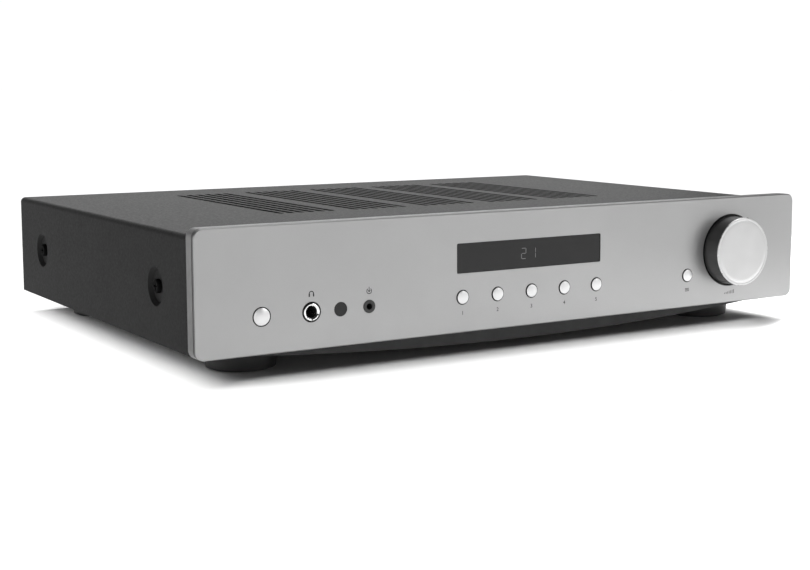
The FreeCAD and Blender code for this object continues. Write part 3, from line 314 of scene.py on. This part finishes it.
def powder_coat(name, shade, specular=0.5):
    """Fine-textured powder coat with slight orange peel."""
    mat = material(name, grey(shade), specular=specular)
    vary_color(mat, noise(mat, 0.05, 4.0), grey(shade * 0.93), grey(shade * 1.07))
    vary_roughness(mat, noise(mat, 0.0015, 3.0), 0.44, 0.56)
    bump(mat, noise(mat, 0.0006, 3.0), 0.00006, 0.45)
    return mat


def bright_metal(name, color, roughness):
    """Plated or turned metal with fine wear."""
    mat = material(name, color, metallic=1.0, roughness=roughness)
    vary_roughness(mat, noise(mat, 0.0012, 4.0), roughness * 0.7, roughness * 1.4)
    bump(mat, noise(mat, 0.0004, 3.0), 0.00002, 0.2)
    return mat


def satin_metal(name, color):
    """Fine satin plating on the face of a button; its sides are darkened as painted shade."""
    mat = material(name, color, metallic=0.4, roughness=0.3)
    vary_color(mat, noise(mat, 0.004, 2.0), color, tuple(part * 1.04 for part in color))
    vary_roughness(mat, noise(mat, 0.0002, 2.0), 0.28, 0.34)
    bump(mat, noise(mat, 0.00012, 2.0), 0.000004, 0.2)
    # Painted shade: the button's sides, which sit in the gap of its hole, are darkened.
    tint(mat, below(mat, facing(mat, "Y"), 0.35), grey(0.03))
    return mat


def sheet_steel():
    """Zinc-plated sheet with a soft rolled streak."""
    mat = material("sheet_steel", grey(0.5), metallic=0.9, roughness=0.38)
    vary_color(mat, noise(mat, 0.008, 5.0, (0.15, 1.0, 1.0)), grey(0.42), grey(0.56))
    vary_roughness(mat, noise(mat, 0.003, 4.0), 0.3, 0.5)
    bump(mat, noise(mat, 0.0005, 3.0, (0.1, 1.0, 1.0)), 0.00002, 0.3)
    return mat


def smoked_acrylic():
    """Dark glossy window, very slightly uneven."""
    mat = material("smoked_acrylic", grey(0.012), roughness=0.15, specular=0.35)
    vary_color(mat, noise(mat, 0.02, 2.0), grey(0.011), grey(0.013))
    vary_roughness(mat, noise(mat, 0.0008, 3.0), 0.1, 0.17)
    bump(mat, noise(mat, 0.01, 1.0), 0.00002, 0.2)
    return mat


def circuit_board():
    """Green solder mask over copper tracks."""
    mat = material("circuit_board", (0.01, 0.09, 0.035), roughness=0.3, coat=0.3)
    bricks = add(mat, "ShaderNodeTexBrick", Scale=160.0)
    bricks.inputs["Color1"].default_value = (0.012, 0.11, 0.045, 1.0)
    bricks.inputs["Color2"].default_value = (0.009, 0.085, 0.034, 1.0)
    bricks.inputs["Mortar"].default_value = (0.025, 0.17, 0.07, 1.0)
    link(mat, place(mat), bricks.inputs["Vector"])
    link(mat, bricks.outputs["Color"], shader_of(mat).inputs["Base Color"])
    bump(mat, bricks.outputs["Fac"], 0.00003, 0.5)
    vary_roughness(mat, noise(mat, 0.003, 2.0), 0.25, 0.4)
    return mat


def winding_tape():
    """Yellow tape wound round the transformer ring."""
    mat = material("winding_tape", (0.5, 0.33, 0.05), roughness=0.3, coat=0.4)
    turns = add(mat, "ShaderNodeTexGradient", gradient_type="RADIAL")
    link(mat, place_from(mat, middle("transformer")), turns.inputs["Vector"])
    overlap = math_node(mat, "FRACT", math_node(mat, "MULTIPLY", turns.outputs["Fac"], TAPE_TURNS))
    vary_color(mat, overlap, (0.42, 0.27, 0.035), (0.6, 0.42, 0.08))
    bump(mat, overlap, 0.0004, 0.7)
    return mat


MATERIALS = {
    "fascia": blasted_aluminium(),
    "frame": moulded("frame_grey", grey(0.16), 0.45),
    "cover": powder_coat("cover_coat", 0.024, 0.03),
    "rear": powder_coat("rear_coat", 0.02),
    "skirt": moulded("skirt_black", grey(0.02), 0.6),
    "black": moulded("black_plastic", grey(0.022), 0.5, 0.0005, 0.35),
    # Dark collar of the small input socket, also used as painted shade on the rim of the headphone ring.
    "collar_and_rim_shade": moulded("dark_collar_and_rim_shade", grey(0.028), 0.35, 0.0003, 0.4),
    "rubber": moulded("foot_rubber", grey(0.02), 0.8),
    "window": smoked_acrylic(),
    "ir": moulded("ir_lens", grey(0.015), 0.2, 0.0005, 0.3),
    "silver": satin_metal("silver_button", grey(0.75)),
    "chrome": bright_metal("bright_plating", grey(0.9), 0.12),
    "face": turned_face(),
    "edge": bright_metal("polished_edge", grey(0.55), 0.3),
    "side": moulded("knob_side", grey(0.05), 0.38, 0.0003),
    "nickel": bright_metal("nickel_plating", (0.6, 0.59, 0.57), 0.25),
    "gold": bright_metal("gold_flash", (0.8, 0.58, 0.25), 0.22),
    "screw": moulded("black_zinc", grey(0.006), 0.75, 0.0004, 0.04),
    "steel": sheet_steel(),
    "sink": bright_metal("sink_aluminium", grey(0.5), 0.4),
    "board": circuit_board(),
    "tape": winding_tape(),
    "sockets": socket_moulding(),
    "case": moulded("component_cases", grey(0.03), 0.4),
    "cap_red": moulded("post_red", (0.38, 0.012, 0.01), 0.22),
    "cap_black": moulded("post_black", grey(0.015), 0.22),
    "sleeve": moulded("capacitor_sleeve", grey(0.02), 0.25),
    "rocker": moulded("rocker_gloss", grey(0.012), 0.18, 0.0005, 0.6),
    "ribbon": moulded("ribbon_grey", grey(0.55), 0.5),
    "wire": moulded("wire_red", (0.3, 0.02, 0.015), 0.4),
    # Dark ink for the printed front marks, also used for the painted shade rings and painted dark
    # reflections.
    "ink": moulded("dark_ink_and_painted_light", grey(0.02), 0.6, 0.0001, 0.2),
    "pale_ink": moulded("pale_ink", grey(0.6), 0.6, 0.0001),
    "segment": moulded("display_segment", grey(0.2), 0.4, 0.0001),
}

NODE_MATERIALS = {
    "fascia": ["fascia_plate"],
    "frame": ["fascia_frame"],
    "cover": ["top_cover"],
    "rear": ["rear_panel"],
    "skirt": ["front_skirt"],
    "black": ["headphone_jack", "feet", "terminal_base", "mains_inlet", "switch_housing", "knob_hub"],
    "collar_and_rim_shade": ["aux_jack"],
    "rubber": ["foot_pads", "transformer_pads"],
    "rocker": ["mains_rocker"],
    "window": ["display_window", "display_module"],
    "ir": ["ir_window"],
    "silver": FRONT_BUTTONS,
    "nickel": ["inlet_blades", "ground_washer", "ground_nut", "encoder_body", "encoder_shaft"]
              + ["post_washer_%d" % number for number in range(1, 5)],
    "gold": ["socket_shells", "terminal_studs"],
    "screw": ["case_screws", "small_screws"],
    "steel": ["chassis_tray", "front_subpanel", "transformer_bolt", "board_standoffs"],
    "sink": ["heatsink"],
    "board": ["control_board", "main_board", "power_board"],
    "tape": ["transformer"],
    "sockets": ["input_block"],
    "case": ["control_board_parts", "output_transistors", "board_components"],
    "cap_red": ["post_cap_1", "post_cap_3"],
    "cap_black": ["post_cap_2", "post_cap_4"],
    "sleeve": ["reservoir_capacitors"],
    "ribbon": ["ribbon_cable"],
    "wire": ["internal_leads"],
}


def dress_nodes():
    """Every CAD node that shows gets its material."""
    for key, names in NODE_MATERIALS.items():
        for name in names:
            mesh = NODES[name].data
            mesh.materials.clear()
            mesh.materials.append(MATERIALS[key])


# ---------------------------------------------------------------- shapes

def piece(name, work, keys, body, replaces=None):
    """Makes an object of finished mesh work, and lets it ride on a body."""
    mesh = bpy.data.meshes.new(name)
    bmesh.ops.recalc_face_normals(work, faces=work.faces)
    work.to_mesh(mesh)
    work.free()
    for key in keys:
        mesh.materials.append(MATERIALS[key])
    mesh.shade_smooth()
    mesh.set_sharp_from_angle(angle=SHARP_ANGLE)
    made = bpy.data.objects.new(name, mesh)
    bpy.context.scene.collection.objects.link(made)
    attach(made, body)
    if replaces:
        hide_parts(replaces)


def turn(work, profile, centre):
    """Turns a profile of (radius, y, material) points about a line along Y through the centre."""
    rings = []
    for radius, y, _ in profile:
        count = TURN_SEGMENTS if radius else 1
        angles = [2 * math.pi * step / count for step in range(count)]
        rings.append([work.verts.new((centre.x + radius * math.cos(angle), y,
                                      centre.z + radius * math.sin(angle))) for angle in angles])
    for first, second, (_, _, index) in zip(rings, rings[1:], profile[1:]):
        for step in range(TURN_SEGMENTS):
            after = step + 1
            corners = [ring[at % len(ring)] for ring, at in
                       ((first, step), (first, after), (second, after), (second, step))]
            face = work.faces.new(dict.fromkeys(corners))
            face.material_index = index


def rounded_lip(radius, y, roll):
    """Points (radius, y) of a quarter-round edge from a side of this radius to a face at y."""
    angles = [math.pi / 2 * step / LIP_STEPS for step in range(LIP_STEPS + 1)]
    return [(radius - roll * (1 - math.cos(angle)), y + roll * (1 - math.sin(angle))) for angle in angles]


def volume_knob():
    """Turned knob: dark side, bright rolled edge and a faintly dished face with one fine groove."""
    face, edge, side = range(3)
    front, back = KNOB_LOW.y, KNOB_HIGH.y
    floor, bore, chamfer = front + 2.5 * MM, KNOB_R - 2.0 * MM, 0.2 * MM
    profile = [(0.0, floor, side), (bore, floor, side), (bore, back, side),
               (KNOB_R - chamfer, back, side), (KNOB_R, back - chamfer, side)]
    profile += [(radius, y, edge if step else side)
                for step, (radius, y) in enumerate(rounded_lip(KNOB_R, front, 0.5 * MM))]
    groove, half, depth = KNOB_R - 1.7 * MM, 0.12 * MM, 0.06 * MM
    profile += [(groove + half, front, face), (groove, front + depth, face), (groove - half, front, face)]
    dish, rings = 0.15 * MM, 8
    for step in range(1, rings):
        share = 1 - step / rings
        profile.append(((groove - half) * share, front + dish * (1 - share ** 2), face))
    profile.append((0.0, front + dish, face))
    work = bmesh.new()
    turn(work, profile, KNOB)
    piece("turned_volume_knob", work, ["face", "edge", "side"], "volume_knob", "volume_knob")


def headphone_ring():
    """Bright ring nut with a rolled edge and a funnel that leads the plug in; its outer side and the outer
    part of the edge are dark as painted shade.
    """
    bright, dark = range(2)
    low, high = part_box("headphone_jack_nut")
    outer = (high.x - low.x) / 2
    mouth, thread, step_y = 3.3 * MM, 3.9 * MM, FRONT + 0.2 * MM
    profile = [(outer, high.y, dark)]
    # Painted shade: the outer side and the outer part of the rolled edge take the dark material.
    profile += [(radius, y, dark if step < 4 else bright)
                for step, (radius, y) in enumerate(rounded_lip(outer, low.y, 0.7 * MM))]
    profile += [(radius, y, bright) for radius, y in
                ((4.0 * MM, low.y), (3.8 * MM, low.y + 0.12 * MM), (mouth, FRONT), (mouth, step_y),
                 (thread, step_y), (thread, high.y), (outer, high.y))]
    work = bmesh.new()
    turn(work, profile, (low + high) / 2)
    bmesh.ops.remove_doubles(work, verts=work.verts, dist=1e-7)
    piece("headphone_ring", work, ["chrome", "collar_and_rim_shade"], "root", "headphone_jack_nut")


def contact_springs():
    """Two sprung contacts that show in the mouth of the headphone socket."""
    centre = middle("headphone_jack_nut")
    # The section is in millimetres out from the socket's axis and in from the front
    section = [(2.0, 5.0), (2.75, 3.2), (3.15, 2.2), (3.15, 2.8), (2.95, 3.4), (2.25, 5.2)]
    half_width = 0.55
    work = bmesh.new()
    for angle in (math.radians(-28), math.radians(-92)):
        out = Vector((math.cos(angle), 0, math.sin(angle)))
        across = Vector((-out.z, 0, out.x))
        sides = []
        for half in (-half_width, half_width):
            at = [centre + out * reach * MM + across * half * MM for reach, _ in section]
            sides.append([work.verts.new((point.x, FRONT + deep * MM, point.z))
                          for point, (_, deep) in zip(at, section)])
        for side in sides:
            work.faces.new(side)
        for step in range(len(section)):
            after = (step + 1) % len(section)
            work.faces.new((sides[0][step], sides[0][after], sides[1][after], sides[1][step]))
    piece("headphone_contacts", work, ["nickel"], "root")


# ---------------------------------------------------------------- printed marks

def stroke(work, points, width, y, out, closed=False):
    """A thin raised line through (x, z) points, on the plane y and standing out along Y."""
    ends = points[1:] + points[:1] if closed else points[1:]
    for (x0, z0), (x1, z1) in zip(points, ends):
        along = Vector((x1 - x0, z1 - z0)).normalized() * width / 2
        side = Vector((-along.y, along.x))
        start, end = Vector((x0, z0)) - along * LINE_OVERRUN, Vector((x1, z1)) + along * LINE_OVERRUN
        corners = [start + side, end + side, end - side, start - side]
        base = [work.verts.new((corner.x, y, corner.y)) for corner in corners]
        top = [work.verts.new((corner.x, y + out * INK, corner.y)) for corner in corners]
        work.faces.new(top)
        for step in range(4):
            after = (step + 1) % 4
            work.faces.new((base[step], base[after], top[after], top[step]))


def glyph(work, text, size, at, face):
    """Digits or signs as thin raised ink, centred on a point."""
    curve = bpy.data.curves.new("glyph", "FONT")
    curve.body = text
    curve.size = size
    curve.align_x = "CENTER"
    curve.align_y = "CENTER"
    curve.extrude = INK
    curve.resolution_u = 6
    holder = bpy.data.objects.new("glyph", curve)
    mesh = bpy.data.meshes.new_from_object(holder)
    mesh.transform(Matrix.Translation(at) @ face)
    work.from_mesh(mesh)
    bpy.data.objects.remove(holder)
    bpy.data.curves.remove(curve)
    bpy.data.meshes.remove(mesh)


def arc(centre, radius, start, end, steps=24):
    """Points (x, z) along an arc, its angles in degrees."""
    angles = [math.radians(start + (end - start) * step / steps) for step in range(steps + 1)]
    return [(centre[0] + radius * math.cos(angle), centre[1] + radius * math.sin(angle)) for angle in angles]


def front_line(work, points, width=LINE, closed=False):
    """A line printed on the front."""
    stroke(work, points, width, FRONT, -1, closed)


def outline(work, node, margin):
    """Painted shade: a dark ring on the front round a hole, where the gap round the part falls in shade; its
    radius is the node's less a margin.
    """
    low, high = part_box(node)
    centre = (low + high) / 2
    radius = (high.x - low.x) / 2 - margin + 0.15 * MM
    front_line(work, arc((centre.x, centre.z), radius, 0, 352.5, 47), 0.4 * MM, closed=True)


def menu_bars(work, low_z):
    """Three short bars under the menu button."""
    x, half, pitch = middle("menu_button").x, 1.5 * MM, 0.8 * MM
    for row in (-1, 0, 1):
        z = low_z + row * pitch
        front_line(work, [(x - half, z), (x + half, z)])


def volume_wedge(work):
    """Seven bars under the knob that grow to the right."""
    foot, pitch, shortest, growth = 20.0 * MM, 1.3 * MM, 0.5 * MM, 0.28 * MM
    for step in range(7):
        x = KNOB.x + (step - 3) * pitch
        front_line(work, [(x, foot), (x, foot + shortest + growth * step)], 0.4 * MM)


def headphone_sign(work):
    """Headband with two ear pads over the headphone socket."""
    x, z, radius = middle("headphone_jack").x, ROW_Z + 10.0 * MM, 1.3 * MM
    front_line(work, arc((x, z), radius, -20, 200), 0.45 * MM)
    for side in (-radius, radius):
        front_line(work, [(x + side, z - 0.3 * MM), (x + side, z - radius)], 0.75 * MM)


def line_in_sign(work):
    """Arrow into an open ring, over the small input socket."""
    x, z, wing = middle("aux_jack").x, ROW_Z + 8.6 * MM, 0.7 * MM
    front_line(work, arc((x, z), 1.5 * MM, 130, 410))
    front_line(work, [(x, z + 2.2 * MM), (x, z - 0.4 * MM)])
    front_line(work, [(x - wing, z + 0.35 * MM), (x, z - 0.45 * MM), (x + wing, z + 0.35 * MM)])


def ring_notches(work):
    """Two painted dark reflections on the face of the headphone ring."""
    nut, face = middle("headphone_jack_nut"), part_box("headphone_jack_nut")[0].y
    for angle in (math.radians(-25), math.radians(-90)):
        ends = [(nut.x + reach * math.cos(angle), nut.z + reach * math.sin(angle))
                for reach in (3.85 * MM, 4.1 * MM)]
        # Painted reflection: a short dark stroke on the bright face of the ring.
        stroke(work, ends, 0.8 * MM, face, -1)


def front_marks():
    """Digits and signs printed on the front, with painted shade rings round its holes and painted dark
    reflections on the headphone ring.
    """
    work = bmesh.new()
    low_z = ROW_Z - 9.2 * MM
    for number, node in enumerate(SOURCE_BUTTONS, start=1):
        glyph(work, str(number), 3.2 * MM, Vector((middle(node).x, FRONT, low_z)), FACE_FRONT)
    menu_bars(work, low_z)
    volume_wedge(work)
    headphone_sign(work)
    line_in_sign(work)
    # Painted shade rings round the buttons and the headphone nut
    for node in FRONT_BUTTONS:
        outline(work, node, FLANGE)
    outline(work, "headphone_jack_nut", -0.4 * MM)
    ring_notches(work)
    piece("front_marks", work, ["ink"], "root")


# Segments of a digit from corner to corner, in digit widths across and half heights up
SEGMENTS = {"top": ((0, 2), (1, 2)), "middle": ((0, 1), (1, 1)), "bottom": ((0, 0), (1, 0)),
            "upper_left": ((0, 1), (0, 2)), "upper_right": ((1, 1), (1, 2)),
            "lower_left": ((0, 0), (0, 1)), "lower_right": ((1, 0), (1, 1))}
DIGITS = {2: ["top", "upper_right", "middle", "lower_left", "bottom"], 1: ["upper_right", "lower_right"]}


def display_digits():
    """Two dim seven-segment digits on the display."""
    low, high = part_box("display_window")
    wide, tall, trim = 3.2 * MM, 3.1 * MM, 0.12
    centre_z = (low.z + high.z) / 2
    work = bmesh.new()
    for left, digit in ((-8.6 * MM, 2), (-1.6 * MM, 1)):
        for name in DIGITS[digit]:
            start, end = [Vector((left + u * wide, centre_z + (v - 1) * tall)) for u, v in SEGMENTS[name]]
            stroke(work, [start.lerp(end, trim), end.lerp(start, trim)], 0.35 * MM, low.y, -1)
    piece("display_digits", work, ["segment"], "root")


def frame_round(work, centre, half_x, half_z):
    """A rounded printed frame on the rear panel."""
    points = []
    for dx, dz, start in ((1, 1, 0), (-1, 1, 90), (-1, -1, 180), (1, -1, 270)):
        bend = (centre[0] + dx * (half_x - FRAME_CORNER), centre[1] + dz * (half_z - FRAME_CORNER))
        points += arc(bend, FRAME_CORNER, start, start + 90, 6)
    stroke(work, points, LINE, REAR, 1, closed=True)


def input_frames(work):
    """A frame and a digit for each pair of phono sockets."""
    for column in range(1, 7):
        upper, lower = [MOUNTS["phono_socket_%d_%s" % (column, row)] for row in ("upper", "lower")]
        z = (upper.z + lower.z) / 2
        frame_round(work, (upper.x, z), *SOCKET_FRAME)
        glyph(work, str(column), 3.6 * MM, Vector((upper.x, REAR, z - 20.2 * MM)), FACE_REAR)


def post_frames(work):
    """Signs over the speaker posts, and a frame round each pair."""
    posts = [middle("post_cap_%d" % number) for number in range(1, 5)]
    for post, sign in zip(posts, "+\u2212+\u2212"):
        glyph(work, sign, 5.0 * MM, Vector((post.x, REAR, post.z + 14.6 * MM)), FACE_REAR)
    for first, second in (posts[:2], posts[2:]):
        frame_round(work, ((first.x + second.x) / 2, posts[0].z + 1.5 * MM), *POST_FRAME)


def ground_sign(work):
    """Earth sign over the ground nut."""
    ground = middle("ground_nut")
    top = ground.z + 12.0 * MM
    for row, half in enumerate((2.4 * MM, 1.6 * MM, 0.8 * MM)):
        z = top - row * 0.9 * MM
        stroke(work, [(ground.x - half, z), (ground.x + half, z)], LINE, REAR, 1)
    stroke(work, [(ground.x, top), (ground.x, top + 2.2 * MM)], LINE, REAR, 1)


def rear_marks():
    """Frames, digits and signs beside the rear sockets, posts and ground nut."""
    work = bmesh.new()
    input_frames(work)
    post_frames(work)
    ground_sign(work)
    piece("rear_marks", work, ["pale_ink"], "root")


def rocker_marks():
    """On and off signs on the two sloping faces of the mains rocker."""
    slope = (ROCKER_CREST - ROCKER_VALLEY) / ROCKER_HALF
    up, radius = ROCKER_HALF * 0.6, 1.3 * MM
    rocker = (Matrix.Translation((middle("mains_rocker").x, ROCKER_PIVOT_Y, ROCKER_Z))
              @ Matrix.Rotation(ROCKER_TILT, 4, "X"))
    bar = [(0.0, -radius), (0.0, radius)]
    ring = arc((0.0, 0.0), radius, 0, 345, 23)
    work = bmesh.new()
    for sign, points, closed in ((1, bar, False), (-1, ring, True)):
        face = (Matrix.Translation((0.0, ROCKER_VALLEY + slope * up, sign * up))
                @ Matrix.Rotation(sign * math.atan(slope), 4, "X"))
        first = len(work.verts)
        stroke(work, points, LINE, 0.0, 1, closed)
        work.verts.ensure_lookup_table()
        bmesh.ops.transform(work, matrix=rocker @ face, verts=work.verts[first:])
    piece("rocker_marks", work, ["pale_ink"], "mains_rocker")


# ---------------------------------------------------------------- light, floor and camera

def studio_floor():
    """Plain pale floor, wide enough to fill every view."""
    mesh = bpy.data.meshes.new("studio_floor")
    work = bmesh.new()
    bmesh.ops.create_circle(work, cap_ends=True, radius=FLOOR_RADIUS, segments=96)
    work.to_mesh(mesh)
    work.free()
    floor = bpy.data.objects.new("studio_floor", mesh)
    bpy.context.scene.collection.objects.link(floor)
    mesh.materials.append(material("pale_floor", grey(0.5), roughness=0.8, specular=0.0))
    return floor


def aim(lamp, at, target):
    """Puts a lamp in its place and points it at a target."""
    lamp.location = at
    lamp.rotation_euler = (Vector(target) - Vector(at)).to_track_quat("-Z", "Y").to_euler()
    bpy.context.scene.collection.objects.link(lamp)


def link_light(lamp, floor, state):
    """Lets a lamp light only the floor, or everything but the floor."""
    group = bpy.data.collections.new(lamp.name + "_group")
    group.objects.link(floor)
    group.collection_objects[0].light_linking.link_state = state
    lamp.light_linking.receiver_collection = group


def sun(name, floor, power, spread, source, state="EXCLUDE"):
    """A sun seen in the direction of source, its spread in degrees."""
    data = bpy.data.lights.new(name, "SUN")
    data.energy = power
    data.angle = math.radians(spread)
    lamp = bpy.data.objects.new(name, data)
    aim(lamp, source, (0.0, 0.0, 0.0))
    link_light(lamp, floor, state)


def floor_lights(floor):
    """A row of broad suns for the floor, whose shadow is soft to the sides and short in front."""
    for x, y in FLOOR_SOURCES:
        source = Vector((x, y, 1.0))
        sun("floor_sun", floor, FLOOR_LIGHT * source.length, FLOOR_SPREAD, source, "INCLUDE")


def soft_box(name, floor, at, target, size, watts, state="EXCLUDE", beam=180):
    """A soft box that lights the amplifier and leaves the floor out, or the floor alone."""
    data = bpy.data.lights.new(name, "AREA")
    data.shape = "RECTANGLE"
    data.size, data.size_y = size
    data.energy = watts
    data.spread = math.radians(beam)
    lamp = bpy.data.objects.new(name, data)
    aim(lamp, at, target)
    link_light(lamp, floor, state)


def studio_world():
    """White round the horizon, dimmer overhead."""
    world = bpy.data.worlds.new("studio_world")
    bpy.context.scene.world = world
    world.use_nodes = True
    nodes, links = world.node_tree.nodes, world.node_tree.links
    split = nodes.new("ShaderNodeSeparateXYZ")
    links.new(nodes.new("ShaderNodeTexCoord").outputs["Generated"], split.inputs["Vector"])
    ramp = nodes.new("ShaderNodeValToRGB")
    for element, position, value in zip(ramp.color_ramp.elements, (HORIZON_TOP, SKY_START), (1.0, SKY)):
        element.position = position
        element.color = (*grey(value), 1.0)
    links.new(split.outputs["Z"], ramp.inputs["Fac"])
    links.new(ramp.outputs["Color"], nodes["Background"].inputs["Color"])
    nodes["Background"].inputs["Strength"].default_value = WORLD_STRENGTH


def photo_camera():
    """Camera of the product shot: from the front left, a little above the amplifier."""
    data = bpy.data.cameras.new("photo_camera")
    data.sensor_width = CAMERA_SENSOR
    data.lens = CAMERA_LENS
    data.shift_x, data.shift_y = CAMERA_SHIFT
    camera = bpy.data.objects.new("photo_camera", data)
    camera.location = CAMERA_AT
    camera.rotation_euler = (math.pi / 2 - CAMERA_PITCH, 0.0, -CAMERA_YAW)
    bpy.context.scene.collection.objects.link(camera)
    bpy.context.scene.camera = camera
    bpy.context.scene.view_settings.view_transform = "Standard"


dress_nodes()
volume_knob()
headphone_ring()
contact_springs()
front_marks()
display_digits()
rear_marks()
rocker_marks()
floor = studio_floor()
studio_world()
floor_lights(floor)
sun("overhead", floor, **OVERHEAD)
soft_box("front_box", floor, **FRONT_BOX)
soft_box("back_box", floor, **BACK_BOX)
soft_box("floor_box", floor, **FLOOR_BOX)
photo_camera()
